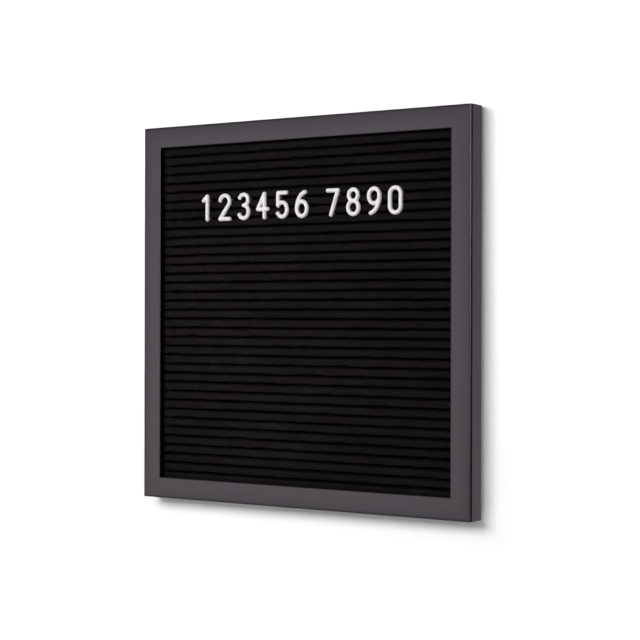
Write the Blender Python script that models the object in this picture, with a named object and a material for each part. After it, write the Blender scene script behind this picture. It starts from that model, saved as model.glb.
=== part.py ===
# Square wall-hung letter board: a mitred frame, a felt field folded over slats, and push-in numerals.
# Metres, +Z up. The front faces -Y. The origin is the centre notch of the hanger on the back.

from math import acos, atan2, cos, hypot, pi, radians, sin, sqrt

import bmesh
import bpy
from mathutils import Matrix, Vector

# Felt field: what the frame leaves open
FIELD_WIDTH = 0.226
RIB_COUNT = 37
RIB_PITCH = 0.00614
FIRST_RIB = 0.0062          # from the field's top edge to the first groove
LAST_RIB = 0.0038           # from the last groove to the field's bottom edge

# Frame rails
RAIL_FACE = 0.014           # width of the front face
LIP_DEPTH = 0.0046          # thickness of the lip in front of the rebate
REBATE_WIDTH = 0.005
OUTER_ROUND = 0.0005
LIP_ROUND = 0.0006
REAR_CHAMFER = 0.0005
LINE_EDGE = 0.00015         # flat edge between the front rounding and the shadow line on the outer side
LINE_WIDTH = 0.0014
LINE_DEPTH = 0.001
MITRE_GLUE = 0.00005

# Felt, slats and back board, from front to back
LIP_GAP = 0.0003            # between the lip and the felt
FELT_THICK = 0.0008
FELT_FOLD = 0.00015         # radius of the fold on the slat's side
SLIT_WIDTH = 0.0013         # open gap between two felt-covered ribs
SLAT_DEPTH = 0.0045
GLUE = 0.0001
BACK_THICK = 0.0025
PANEL_FIT = 0.0005          # between the panel's edge and the rebate's wall

# Framing points that hold the back board in
POINT_WIDTH = 0.009
POINT_THICK = 0.0005
POINT_GRIP = 0.0045         # length pushed into the rail
POINT_HOLD = 0.008          # length over the back board
POINT_FIT = 0.0001
BACK_RECESS = 0.0007        # from the points to the back of the rails

# Sawtooth hanger and its nails
HANGER_LENGTH = 0.046
HANGER_HEIGHT = 0.007
HANGER_THICK = 0.0008
HANGER_END = 0.008          # flat length at each end
HANGER_BEND = 0.0015
HANGER_RAISE = 0.0012
HANGER_SEAT = 0.00005
NOTCH_COUNT = 9
NOTCH_DEPTH = 0.0011
NAIL_RADIUS = 0.0006
NAIL_LENGTH = 0.009         # below the hanger
NAIL_HEAD_RADIUS = 0.0015
NAIL_HEAD_THICK = 0.0006
NAIL_TIP = 0.0012
NAIL_FIT = 0.00005
NAIL_SIDES = 12

# Push-in numerals
CHAR_GROUPS = ("123456", "7890")
CHAR_HEIGHT = 0.0184
CHAR_WIDTH = 0.0106
CHAR_GAP = 0.0049           # clear gap between neighbours
GROUP_GAP = 0.0133          # clear gap between the two groups
ROW_SHIFT = -0.0024         # centre of the row from the field's centre
CHAR_RISE = 0.00105         # centre of a numeral above the middle of its tabs
CHAR_REST = 0.0002          # between a numeral's back and the felt
STROKE_WIDTH = 0.0031
STROKE_DEPTH = 0.002
STROKE_EDGE = 0.0005        # upright edge below the rounded top
STROKE_TUCK = 0.0004        # how far a joining stroke is tucked into the one it starts on
STROKE_STEP = 0.00003       # how far a joining stroke's back is set in from the one before it
STROKE_SHRINK = 0.97        # size of a joining stroke's section against the one before it
UPPER_GROOVE = 5            # groove that takes the upper tab, counted from 0 at the top
TAB_GROOVES = 2             # grooves from the upper tab to the lower one
TAB_WIDTH = 0.0014
TAB_ROOT = 0.0008           # depth of a tab's root inside the stroke
TAB_FIT = 0.0002            # between a tab and the felt on each side
TAB_TIP_GAP = 0.0013        # between a tab's end and the bottom of the slit
TAB_TAPER = 0.7

# Modelling
ARC_STEP = radians(22.5)
DOME_TURNS = (radians(75), radians(55), radians(30))
SHARP_ANGLE = radians(40)
WELD = 0.000001

# Worked out from the sizes above
GROOVE_COUNT = RIB_COUNT - 1
FIELD_HEIGHT = FIRST_RIB + (GROOVE_COUNT - 1) * RIB_PITCH + LAST_RIB
BOARD_WIDTH = FIELD_WIDTH + 2 * RAIL_FACE
BOARD_HEIGHT = FIELD_HEIGHT + 2 * RAIL_FACE
PANEL_REACH = REBATE_WIDTH - PANEL_FIT
PANEL_WIDTH = FIELD_WIDTH + 2 * PANEL_REACH
PANEL_HEIGHT = FIELD_HEIGHT + 2 * PANEL_REACH
LAND = RAIL_FACE - REBATE_WIDTH
STACK = FELT_THICK + GLUE + SLAT_DEPTH + GLUE + BACK_THICK + GLUE + POINT_THICK
RAIL_DEPTH = LIP_DEPTH + LIP_GAP + STACK + BACK_RECESS

# Depths behind the back of the rails are positive y, so these are negative
FRONT_Y = -RAIL_DEPTH
FELT_Y = FRONT_Y + LIP_DEPTH + LIP_GAP
SLAT_Y = FELT_Y + FELT_THICK + GLUE
SLAT_REAR_Y = SLAT_Y + SLAT_DEPTH
SLIT_FLOOR_Y = SLAT_REAR_Y - FELT_THICK
BACK_Y = SLAT_REAR_Y + GLUE
POINT_Y = BACK_Y + BACK_THICK + GLUE
HANGER_Z = BOARD_HEIGHT / 2 - LAND / 2
NOTCH_Z = HANGER_Z - HANGER_HEIGHT / 2 + NOTCH_DEPTH
NOTCH_Y = HANGER_SEAT + HANGER_RAISE + HANGER_THICK / 2
TAB_THICK = SLIT_WIDTH - 2 * TAB_FIT
TAB_REACH = SLIT_FLOOR_Y - FELT_Y - TAB_TIP_GAP

# Colour, roughness and metallic value of each finish
FINISHES = {
    "satin_lacquer": ((0.052, 0.049, 0.053), 0.42, 0.0),
    "black_felt": ((0.010, 0.009, 0.010), 1.0, 0.0),
    "white_plastic": ((0.80, 0.79, 0.77), 0.35, 0.0),
    "slat_wood": ((0.50, 0.36, 0.21), 0.8, 0.0),
    "brown_hardboard": ((0.20, 0.12, 0.065), 0.75, 0.0),
    "zinc_steel": ((0.60, 0.60, 0.61), 0.35, 1.0),
}


def clear_scene():
    for item in list(bpy.data.objects):
        bpy.data.objects.remove(item)


def make_materials():
    made = {}
    for name, (colour, roughness, metallic) in FINISHES.items():
        material = bpy.data.materials.new(name)
        material.use_nodes = True
        shader = material.node_tree.nodes["Principled BSDF"]
        shader.inputs["Base Color"].default_value = (*colour, 1.0)
        shader.inputs["Roughness"].default_value = roughness
        shader.inputs["Metallic"].default_value = metallic
        made[name] = material
    return made


def add_object(name, data, finish=None, place=(0, 0, 0)):
    item = bpy.data.objects.new(name, data)
    item.parent = board
    item.location = place
    bpy.context.scene.collection.objects.link(item)
    if finish:
        data.materials.clear()
        data.materials.append(materials[finish])
    return item


def finish_mesh(shape, name):
    bmesh.ops.recalc_face_normals(shape, faces=shape.faces)
    mesh = bpy.data.meshes.new(name)
    shape.to_mesh(mesh)
    shape.free()
    return mesh


def box_mesh(name, low, high):
    shape = bmesh.new()
    bmesh.ops.create_cube(shape, size=1.0)
    low = Vector(low)
    high = Vector(high)
    bmesh.ops.scale(shape, vec=high - low, verts=shape.verts)
    bmesh.ops.translate(shape, vec=(low + high) / 2, verts=shape.verts)
    return finish_mesh(shape, name)


def extruded_verts(made):
    return [item for item in made["geom"] if isinstance(item, bmesh.types.BMVert)]


def prism_mesh(name, corners, carry):
    # A flat outline whose corners are each carried straight to the far end.
    shape = bmesh.new()
    face = shape.faces.new([shape.verts.new(corner) for corner in corners])
    for vert in extruded_verts(bmesh.ops.extrude_face_region(shape, geom=[face])):
        vert.co = carry(vert.co)
    return finish_mesh(shape, name)


def evaluated_mesh(item):
    view = bpy.context.evaluated_depsgraph_get()
    return bpy.data.meshes.new_from_object(item.evaluated_get(view))


def welded(mesh, name):
    shape = bmesh.new()
    shape.from_mesh(mesh)
    bmesh.ops.remove_doubles(shape, verts=shape.verts, dist=WELD)
    return finish_mesh(shape, name)


def combine(target, other, operation):
    change = target.modifiers.new(operation.lower(), "BOOLEAN")
    change.operation = operation
    change.solver = "EXACT"
    change.object = other
    mesh = evaluated_mesh(target)
    target.modifiers.remove(change)
    target.data = mesh
    bpy.data.objects.remove(other)


def arc(centre, radii, start, end):
    steps = max(2, round(abs(end - start) / ARC_STEP))
    turns = [start + (end - start) * step / steps for step in range(steps + 1)]
    return [(centre[0] + radii[0] * cos(turn), centre[1] + radii[1] * sin(turn)) for turn in turns]


# Frame rails

def rail_outline():
    # Across the rail from its outer side inwards, and along the depth from the front face backwards.
    front_outer = arc((OUTER_ROUND, OUTER_ROUND), (OUTER_ROUND, OUTER_ROUND), pi, 1.5 * pi)
    lip_centre = (RAIL_FACE - LIP_ROUND, LIP_ROUND)
    front_inner = arc(lip_centre, (LIP_ROUND, LIP_ROUND), 1.5 * pi, 2 * pi)
    rebate = [(RAIL_FACE, LIP_DEPTH), (LAND, LIP_DEPTH), (LAND, RAIL_DEPTH)]
    rear_outer = [(REAR_CHAMFER, RAIL_DEPTH), (0, RAIL_DEPTH - REAR_CHAMFER)]
    near = OUTER_ROUND + LINE_EDGE
    far = near + LINE_WIDTH
    line = [(0, far), (LINE_DEPTH, far), (LINE_DEPTH, near), (0, near)]
    return front_outer + front_inner + rebate + rear_outer + line


def point_slot():
    low = (-POINT_WIDTH / 2 - POINT_FIT, POINT_Y - POINT_FIT, LAND - POINT_GRIP - POINT_FIT)
    high = (POINT_WIDTH / 2 + POINT_FIT, POINT_Y + POINT_THICK + POINT_FIT, LAND + PANEL_FIT)
    return add_object("point_slot", box_mesh("point_slot", low, high))


def make_rail(name, length, place, turn):
    half = length / 2 - MITRE_GLUE / sqrt(2)
    mitre = [(inward - half, FRONT_Y + depth, inward) for inward, depth in rail_outline()]
    mesh = prism_mesh(name, mitre, lambda corner: (-corner.x, corner.y, corner.z))
    rail = add_object(name, mesh, "satin_lacquer")
    combine(rail, point_slot(), "DIFFERENCE")
    rail.location = place
    rail.rotation_euler = (0, turn, 0)
    return rail


def make_point(name, place, turn):
    # A flat plate with a pointed end, which is pushed into the rail.
    half = POINT_WIDTH / 2
    tip = LAND - POINT_GRIP
    end = LAND + POINT_HOLD
    outline = [(-half, end), (half, end), (half, LAND), (0, tip), (-half, LAND)]
    corners = [(across, POINT_Y, inward) for across, inward in outline]
    mesh = prism_mesh(name, corners, lambda corner: corner + Vector((0, POINT_THICK, 0)))
    point = add_object(name, mesh, "zinc_steel", place)
    point.rotation_euler = (0, turn, 0)


def make_frame():
    sides = {
        "bottom": (BOARD_WIDTH, (0, 0, -BOARD_HEIGHT / 2), 0),
        "right": (BOARD_HEIGHT, (BOARD_WIDTH / 2, 0, 0), -pi / 2),
        "top": (BOARD_WIDTH, (0, 0, BOARD_HEIGHT / 2), pi),
        "left": (BOARD_HEIGHT, (-BOARD_WIDTH / 2, 0, 0), pi / 2),
    }
    rails = {}
    for side, (length, place, turn) in sides.items():
        rails[side] = make_rail(side + "_rail", length, place, turn)
        make_point(side + "_point", place, turn)
    return rails


# Felt panel

def groove_z(index):
    return FIELD_HEIGHT / 2 - FIRST_RIB - index * RIB_PITCH


def rib_edges(index):
    # Top and bottom of a felt-covered rib. The outer two run on under the lips.
    top = PANEL_HEIGHT / 2 if index == 0 else groove_z(index - 1) - SLIT_WIDTH / 2
    bottom = -PANEL_HEIGHT / 2 if index == RIB_COUNT - 1 else groove_z(index) + SLIT_WIDTH / 2
    return top, bottom


def make_slats():
    cover = FELT_THICK + GLUE
    for index in range(RIB_COUNT):
        top, bottom = rib_edges(index)
        name = f"slat_{index + 1:02d}"
        low = (-PANEL_WIDTH / 2, SLAT_Y, bottom + cover)
        high = (PANEL_WIDTH / 2, SLAT_REAR_Y, top - cover)
        add_object(name, box_mesh(name, low, high), "slat_wood")


def felt_path():
    # The felt's outer surface in section: over each rib, and down to the floor of the slit between ribs.
    shoulder = FELT_THICK + FELT_FOLD
    round_size = (shoulder, shoulder)
    path = []
    for index in range(RIB_COUNT):
        top, bottom = rib_edges(index)
        last = index == RIB_COUNT - 1
        path.append((SLAT_REAR_Y if index == 0 else SLIT_FLOOR_Y, top))
        path += arc((FELT_Y + shoulder, top - shoulder), round_size, pi / 2, pi)
        path += arc((FELT_Y + shoulder, bottom + shoulder), round_size, pi, 1.5 * pi)
        path.append((SLAT_REAR_Y if last else SLIT_FLOOR_Y, bottom))
    return path


def make_felt():
    shape = bmesh.new()
    verts = [shape.verts.new((-PANEL_WIDTH / 2, y, z)) for y, z in felt_path()]
    edges = [shape.edges.new(pair) for pair in zip(verts, verts[1:])]
    moved = extruded_verts(bmesh.ops.extrude_edge_only(shape, edges=edges))
    bmesh.ops.translate(shape, vec=(PANEL_WIDTH, 0, 0), verts=moved)
    felt = add_object("felt_sheet", finish_mesh(shape, "felt_sheet"), "black_felt")
    if max(felt.data.polygons, key=lambda face: abs(face.normal.y)).normal.y > 0:
        felt.data.flip_normals()
    thickness = felt.modifiers.new("felt_thickness", "SOLIDIFY")
    thickness.thickness = FELT_THICK
    thickness.offset = -1
    thickness.use_even_offset = True


def make_back_board():
    low = (-PANEL_WIDTH / 2, BACK_Y, -PANEL_HEIGHT / 2)
    high = (PANEL_WIDTH / 2, BACK_Y + BACK_THICK, PANEL_HEIGHT / 2)
    add_object("back_board", box_mesh("back_board", low, high), "brown_hardboard")


# Hanger

def hanger_columns():
    # Place along the strip, depth and lower edge, from one end to the other.
    low = HANGER_Z - HANGER_HEIGHT / 2
    raised = HANGER_SEAT + HANGER_RAISE
    end = HANGER_LENGTH / 2
    middle = end - HANGER_END - HANGER_BEND
    columns = [(-end, HANGER_SEAT, low), (-end + HANGER_END, HANGER_SEAT, low)]
    steps = 2 * NOTCH_COUNT
    for step in range(steps + 1):
        rise = NOTCH_DEPTH if step % 2 else 0
        columns.append((middle * (2 * step / steps - 1), raised, low + rise))
    columns += [(end - HANGER_END, HANGER_SEAT, low), (end, HANGER_SEAT, low)]
    return columns


def nail_hole(x, length):
    shape = bmesh.new()
    radius = NAIL_RADIUS + NAIL_FIT
    bmesh.ops.create_cone(
        shape, cap_ends=True, segments=NAIL_SIDES, radius1=radius, radius2=radius, depth=2 * length)
    bmesh.ops.rotate(shape, matrix=Matrix.Rotation(pi / 2, 3, "X"), verts=shape.verts)
    bmesh.ops.translate(shape, vec=(x, 0, HANGER_Z), verts=shape.verts)
    return add_object("nail_hole", finish_mesh(shape, "nail_hole"))


def make_nail(name, x):
    head_y = HANGER_SEAT + HANGER_THICK + HANGER_SEAT
    profile = [
        (0, head_y + NAIL_HEAD_THICK), (NAIL_HEAD_RADIUS, head_y + NAIL_HEAD_THICK),
        (NAIL_HEAD_RADIUS, head_y), (NAIL_RADIUS, head_y),
        (NAIL_RADIUS, NAIL_TIP - NAIL_LENGTH), (0, -NAIL_LENGTH)]
    shape = bmesh.new()
    verts = [shape.verts.new((radius, y, 0)) for radius, y in profile]
    edges = [shape.edges.new(pair) for pair in zip(verts, verts[1:])]
    bmesh.ops.spin(
        shape, geom=verts + edges, cent=(0, 0, 0), axis=(0, 1, 0), angle=2 * pi, steps=NAIL_SIDES,
        use_merge=True)
    bmesh.ops.remove_doubles(shape, verts=shape.verts, dist=WELD)
    add_object(name, finish_mesh(shape, name), "zinc_steel", (x, 0, HANGER_Z))


def make_hanger(top_rail):
    shape = bmesh.new()
    top = HANGER_Z + HANGER_HEIGHT / 2
    rows = [(shape.verts.new((x, y, low)), shape.verts.new((x, y, top))) for x, y, low in hanger_columns()]
    for (low_a, top_a), (low_b, top_b) in zip(rows, rows[1:]):
        shape.faces.new((low_a, low_b, top_b, top_a))
    moved = extruded_verts(bmesh.ops.extrude_face_region(shape, geom=shape.faces[:]))
    bmesh.ops.translate(shape, vec=(0, HANGER_THICK, 0), verts=moved)
    hanger = add_object("sawtooth_hanger", finish_mesh(shape, "sawtooth_hanger"), "zinc_steel")

    nail_x = HANGER_LENGTH / 2 - HANGER_END / 2
    for name, x in (("hanger_nail_left", -nail_x), ("hanger_nail_right", nail_x)):
        for wall in (hanger, top_rail):
            combine(wall, nail_hole(x, NAIL_LENGTH + NAIL_FIT), "DIFFERENCE")
        make_nail(name, x)


# Numerals

def tangent_turn(centre, radius, outside):
    # Angle of the point on a circle where a line to the outside point leaves it.
    across = outside[0] - centre[0]
    up = outside[1] - centre[1]
    return atan2(up, across) + acos(radius / hypot(across, up))


def joined(points):
    # A stroke that starts on another one begins a little past the joint, so their round ends stay apart.
    first, second = Vector(points[0]), Vector(points[1])
    return [tuple(first + (second - first).normalized() * STROKE_TUCK)] + points[1:]


def numeral_strokes(digit):
    # Centre lines of the strokes, as points across and up from the numeral's centre, and whether each closes.
    # The proportions are drawn as shares of half the width, a, and half the height, t, of the centre lines.
    a = (CHAR_WIDTH - STROKE_WIDTH) / 2
    t = (CHAR_HEIGHT - STROKE_WIDTH) / 2
    if digit == "0":
        return [(arc((0, t - a), (a, a), 0, pi) + arc((0, a - t), (a, a), pi, 2 * pi), True)]
    if digit == "1":
        head = (0.2 * a, t)
        return [([head, (0.2 * a, -t)], False), (joined([head, (-0.6 * a, t - 0.75 * a)]), False)]
    if digit == "2":
        centre = (0, t - a)
        corner = (-a, -t)
        bowl = arc(centre, (a, a), radians(170), tangent_turn(centre, a, corner))
        return [(bowl + [corner], False), (joined([corner, (a, -t)]), False)]
    if digit == "3":
        waist = 0.08 * t
        upper = (t - waist) / 2
        lower = (t + waist) / 2
        return [
            (arc((0, t - upper), (0.9 * a, upper), radians(155), -pi / 2), False),
            (joined(arc((0, lower - t), (a, lower), pi / 2, radians(-155))), False)]
    if digit == "4":
        head = (0.35 * a, t)
        corner = (-a, -0.3 * t)
        return [
            ([head, (0.35 * a, -t)], False),
            (joined([head, corner]), False),
            (joined([corner, (a, -0.3 * t)]), False)]
    if digit == "5":
        lower = 0.6 * t
        bowl = arc((0, lower - t), (a, lower), radians(145), radians(-150))
        corner = (-0.8 * a, t)
        return [(bowl, False), (joined([bowl[0], corner]), False), (joined([corner, (0.85 * a, t)]), False)]
    if digit == "6":
        lower = 0.6 * t
        reach = 2 * a - STROKE_TUCK
        neck = arc((a, lower - t), (reach, 2 * t - lower), pi, radians(100))
        return [(arc((0, lower - t), (a, lower), 0, 2 * pi), True), (neck, False)]
    if digit == "7":
        corner = (a, t)
        return [([(-a, t), corner], False), (joined([corner, (-0.35 * a, -t)]), False)]
    if digit == "8":
        upper = 0.46 * t + STROKE_TUCK / 2
        lower = 0.54 * t + STROKE_TUCK / 2
        return [
            (arc((0, lower - t), (a, lower), 0, 2 * pi), True),
            (arc((0, t - upper), (0.86 * a, upper), 0, 2 * pi), True)]
    return [([(-x, -z) for x, z in points], closed) for points, closed in numeral_strokes("6")]


def stroke_section():
    # Flat back, short upright edges and a rounded top.
    half = STROKE_WIDTH / 2
    top = arc((0, STROKE_EDGE), (half, STROKE_DEPTH - STROKE_EDGE), 0, pi)
    curve = bpy.data.curves.new("stroke_section", "CURVE")
    curve.dimensions = "2D"
    spline = curve.splines.new("POLY")
    corners = [(half, 0)] + top + [(-half, 0)]
    spline.points.add(len(corners) - 1)
    for point, (x, y) in zip(spline.points, corners):
        point.co = (x, y, 0, 1)
    spline.use_cyclic_u = True
    return add_object("stroke_section", curve)


def rounded_ends(points):
    # Points past both ends with a shrinking section, so that an open stroke ends in a dome.
    half = STROKE_WIDTH / 2
    first, second = Vector(points[0]), Vector(points[1])
    last, before = Vector(points[-1]), Vector(points[-2])
    out_first = (first - second).normalized() * half
    out_last = (last - before).normalized() * half
    start = [(*(first + out_first * sin(turn)), cos(turn)) for turn in DOME_TURNS]
    end = [(*(last + out_last * sin(turn)), cos(turn)) for turn in reversed(DOME_TURNS)]
    return start + [(x, z, 1) for x, z in points] + end


def stroke_object(points, closed, section, order):
    curve = bpy.data.curves.new("stroke", "CURVE")
    curve.dimensions = "3D"
    curve.twist_mode = "Z_UP"
    curve.bevel_mode = "OBJECT"
    curve.bevel_object = section
    curve.use_fill_caps = True
    spline = curve.splines.new("POLY")
    if closed:
        route = [(x, z, 1) for x, z in points]
        if (Vector(points[0]) - Vector(points[-1])).length < STROKE_EDGE:
            route.pop()
    else:
        route = rounded_ends(points)
    spline.use_cyclic_u = closed
    spline.points.add(len(route) - 1)
    for point, (x, z, size) in zip(spline.points, route):
        point.co = (x, z, order * STROKE_STEP, 1)
        point.radius = size * STROKE_SHRINK ** order
    guide = add_object("stroke", curve)
    # The caps of a bevelled curve come unjoined from its sides.
    mesh = welded(evaluated_mesh(guide), "stroke")
    bpy.data.objects.remove(guide)
    return add_object("stroke", mesh)


def crossing(strokes, level):
    # Place across the numeral where a centre line passes the given height, or comes nearest to it.
    found = []
    for points, closed in strokes:
        ends = points[1:] + points[:1] if closed else points[1:]
        for start, end in zip(points, ends):
            (x_low, z_low), (x_high, z_high) = sorted((start, end), key=lambda point: point[1])
            z = min(max(level, z_low), z_high)
            share = (z - z_low) / (z_high - z_low) if z_high > z_low else 0.5
            x = x_low + (x_high - x_low) * share
            found.append((abs(z - level), abs(x), x))
    return min(found)[2]


def tab_object(x, level):
    low = (x - TAB_WIDTH / 2, level - TAB_THICK / 2, -CHAR_REST - TAB_REACH)
    high = (x + TAB_WIDTH / 2, level + TAB_THICK / 2, TAB_ROOT)
    mesh = box_mesh("tab", low, high)
    for vert in mesh.vertices:
        if vert.co.z < 0:
            vert.co.y = level + (vert.co.y - level) * TAB_TAPER
    return add_object("tab", mesh)


def make_numeral(digit, x, section):
    upper_z = groove_z(UPPER_GROOVE)
    lower_z = groove_z(UPPER_GROOVE + TAB_GROOVES)
    centre_z = (upper_z + lower_z) / 2 + CHAR_RISE
    strokes = numeral_strokes(digit)
    pieces = []
    for order, (points, closed) in enumerate(strokes):
        pieces.append(stroke_object(points, closed, section, order))
    for groove in (upper_z, lower_z):
        level = groove - centre_z
        pieces.append(tab_object(crossing(strokes, level), level))
    for piece in pieces[1:]:
        combine(pieces[0], piece, "UNION")
    name = "numeral_" + digit
    mesh = welded(pieces[0].data, name)
    bpy.data.objects.remove(pieces[0])
    mesh.transform(Matrix.Rotation(pi / 2, 4, "X"))
    mesh.shade_smooth()
    mesh.set_sharp_from_angle(angle=SHARP_ANGLE)
    add_object(name, mesh, "white_plastic", (x, FELT_Y - CHAR_REST, centre_z))


def make_numerals():
    section = stroke_section()
    count = sum(len(group) for group in CHAR_GROUPS)
    gaps = (count - len(CHAR_GROUPS)) * CHAR_GAP + (len(CHAR_GROUPS) - 1) * GROUP_GAP
    x = ROW_SHIFT - (count * CHAR_WIDTH + gaps) / 2
    for group in CHAR_GROUPS:
        for digit in group:
            make_numeral(digit, x + CHAR_WIDTH / 2, section)
            x += CHAR_WIDTH + CHAR_GAP
        x += GROUP_GAP - CHAR_GAP
    bpy.data.objects.remove(section)


clear_scene()
materials = make_materials()

# The board's own axes: the middle of the board, on the back of the rails
board = bpy.data.objects.new("board", None)
board.location = (0, -NOTCH_Y, -NOTCH_Z)
bpy.context.scene.collection.objects.link(board)

frame_rails = make_frame()
make_slats()
make_felt()
make_back_board()
make_hanger(frame_rails["top"])
make_numerals()
bpy.context.view_layer.update()
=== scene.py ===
import random
from math import acos, atan2, cos, hypot, pi, radians, sin, sqrt

import bmesh
import bpy
from mathutils import Matrix, Vector, noise


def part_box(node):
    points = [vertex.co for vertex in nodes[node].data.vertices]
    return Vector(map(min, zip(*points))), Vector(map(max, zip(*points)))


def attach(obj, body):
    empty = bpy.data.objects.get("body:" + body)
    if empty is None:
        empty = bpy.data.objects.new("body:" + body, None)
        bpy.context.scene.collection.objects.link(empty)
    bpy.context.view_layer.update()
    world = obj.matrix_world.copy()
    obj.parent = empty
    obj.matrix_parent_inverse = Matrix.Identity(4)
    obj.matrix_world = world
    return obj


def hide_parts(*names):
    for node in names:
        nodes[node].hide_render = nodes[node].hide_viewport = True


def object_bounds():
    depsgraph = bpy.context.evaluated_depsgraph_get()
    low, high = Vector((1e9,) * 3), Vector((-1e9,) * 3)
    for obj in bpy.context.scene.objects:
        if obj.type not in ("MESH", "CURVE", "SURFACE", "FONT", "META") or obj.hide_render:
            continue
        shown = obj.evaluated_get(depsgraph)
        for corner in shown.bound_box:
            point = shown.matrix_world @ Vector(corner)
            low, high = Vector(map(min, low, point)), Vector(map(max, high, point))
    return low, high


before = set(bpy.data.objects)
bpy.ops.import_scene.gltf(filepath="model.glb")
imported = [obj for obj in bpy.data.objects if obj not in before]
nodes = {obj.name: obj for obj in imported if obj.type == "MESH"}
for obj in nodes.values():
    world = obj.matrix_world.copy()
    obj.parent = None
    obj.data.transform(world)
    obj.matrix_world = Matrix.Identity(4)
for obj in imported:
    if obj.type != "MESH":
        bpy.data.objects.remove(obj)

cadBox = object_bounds()
scene = bpy.context.scene
scene.view_settings.view_transform = "Standard"

railNodes = {"top": "top_rail", "bottom": "bottom_rail", "left": "left_rail", "right": "right_rail"}
boardLow = Vector((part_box("left_rail")[0].x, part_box("top_rail")[0].y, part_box("bottom_rail")[0].z))
boardHigh = Vector((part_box("right_rail")[1].x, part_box("top_rail")[1].y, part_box("top_rail")[1].z))
boardMid = (boardLow + boardHigh) / 2
boardDepth = boardHigh.y - boardLow.y
railFace = boardHigh.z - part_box("top_rail")[0].z

# each groove lies midway between two slats
slatNames = sorted(name for name in nodes if name.startswith("slat_"))
slatBoxes = [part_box(name) for name in slatNames]
grooveHeights = [(upper[0].z + lower[1].z) / 2 for upper, lower in zip(slatBoxes, slatBoxes[1:])]
grooveCount = len(grooveHeights)
groovePitch = (grooveHeights[0] - grooveHeights[-1]) / (grooveCount - 1)
print("frame loaded with", len(nodes), "nodes and", grooveCount, "grooves")


# camera: worked out from the four front corners and the two rear right ones
cameraSettings = {
    "focalPixels": 1631.4,
    "imagePixels": 640,
    "sensor": 36.0,
    "azimuth": radians(33.42),
    "elevation": radians(0.154),
    "roll": radians(0.132),
    "distance": 1.0435,
    "targetFromFace": Vector((0.01812, 0.0, -0.00463)),   # from the middle of the front face
}


def makeCamera():
    s = cameraSettings
    data = bpy.data.cameras.new("photo_camera")
    data.sensor_width = s["sensor"]
    data.lens = s["focalPixels"] / s["imagePixels"] * s["sensor"]
    camera = bpy.data.objects.new("photo_camera", data)
    scene.collection.objects.link(camera)
    target = Vector((boardMid.x, boardLow.y, boardMid.z)) + s["targetFromFace"]
    level = cos(s["elevation"])
    back = Vector((sin(s["azimuth"]) * level, -cos(s["azimuth"]) * level, sin(s["elevation"])))
    right = Vector((0, 0, 1)).cross(back).normalized()
    up = back.cross(right)
    turnedRight = right * cos(s["roll"]) + up * sin(s["roll"])
    turnedUp = up * cos(s["roll"]) - right * sin(s["roll"])
    axes = Matrix((turnedRight, turnedUp, back)).transposed()
    camera.matrix_world = Matrix.Translation(target + back * s["distance"]) @ axes.to_4x4()
    scene.camera = camera


makeCamera()
print("camera placed")


# shader sums on sockets
class Wire:
    def __init__(self, socket):
        self.socket = socket

    def node(self, kind, settings, values, out=0):
        tree = self.socket.id_data
        made = tree.nodes.new(kind)
        for key, value in settings.items():
            if key == "stops":
                while len(made.color_ramp.elements) < len(value):
                    made.color_ramp.elements.new(0.5)
                for stop, (place, shade) in zip(made.color_ramp.elements, value):
                    stop.position = place
                    stop.color = (*shade, 1)
            else:
                setattr(made, key, value)
        for key, value in values.items():
            if isinstance(value, Wire):
                tree.links.new(value.socket, made.inputs[key])
            else:
                made.inputs[key].default_value = value
        return Wire(made.outputs[out]) if made.outputs else None

    def sums(self, operation, first, second):
        return self.node("ShaderNodeMath", {"operation": operation}, {0: first, 1: second})

    def __add__(self, other):
        return self.sums("ADD", self, other)

    def __radd__(self, other):
        return self.sums("ADD", other, self)

    def __sub__(self, other):
        return self.sums("SUBTRACT", self, other)

    def __rsub__(self, other):
        return self.sums("SUBTRACT", other, self)

    def __mul__(self, other):
        return self.sums("MULTIPLY", self, other)

    def __rmul__(self, other):
        return self.sums("MULTIPLY", other, self)


def startFinish(name):
    material = bpy.data.materials.new(name)
    material.use_nodes = True
    return material, Wire(material.node_tree.nodes.new("ShaderNodeTexCoord").outputs["Object"])


def dress(material, values):
    shader = material.node_tree.nodes["Principled BSDF"]
    for key, value in values.items():
        if isinstance(value, Wire):
            material.node_tree.links.new(value.socket, shader.inputs[key])
        else:
            shader.inputs[key].default_value = value
    return material


def grainAt(coords, scale, detail=3.0, rough=0.55):
    values = {"Vector": coords, "Scale": scale, "Detail": detail, "Roughness": rough}
    return coords.node("ShaderNodeTexNoise", {}, values)


def stretched(coords, scales):
    return coords.node("ShaderNodeMapping", {"vector_type": "POINT"}, {"Vector": coords, "Scale": scales})


def grainAlong(coords, scales, detail=3.0, rough=0.55):
    return grainAt(stretched(coords, scales), 1.0, detail, rough)


def spread(wire, low, high, newLow=0.0, newHigh=1.0):
    ends = {"Value": wire, "From Min": low, "From Max": high, "To Min": newLow, "To Max": newHigh}
    return wire.node("ShaderNodeMapRange", {"clamp": True}, ends)


def blendShades(share, first, second):
    values = {0: share, 6: (*first, 1), 7: (*second, 1)}
    return share.node("ShaderNodeMix", {"data_type": "RGBA"}, values, out=2)


def bumped(height, strength, depth):
    values = {"Height": height, "Strength": strength, "Distance": depth}
    return height.node("ShaderNodeBump", {}, values)


# finishes: rough is a range, and relief the strength and depth of the bump
noiseSpan = (0.35, 0.65)     # where most values of a noise texture lie
wideSpan = (0.3, 0.7)

lacquerSettings = {
    "deep": (0.0175, 0.0142, 0.0186),
    "pale": (0.0225, 0.0186, 0.0238),
    "mirrorTint": (1.0, 0.95, 1.0),
    "alongScale": 9.0,       # streaks run with the moulding
    "acrossScale": 520.0,
    "cloudScale": 22.0,
    "peelScale": 1500.0,
    "rough": (0.285, 0.315),
    "shine": 0.5,
    "relief": (0.07, 0.0002),
}


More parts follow.
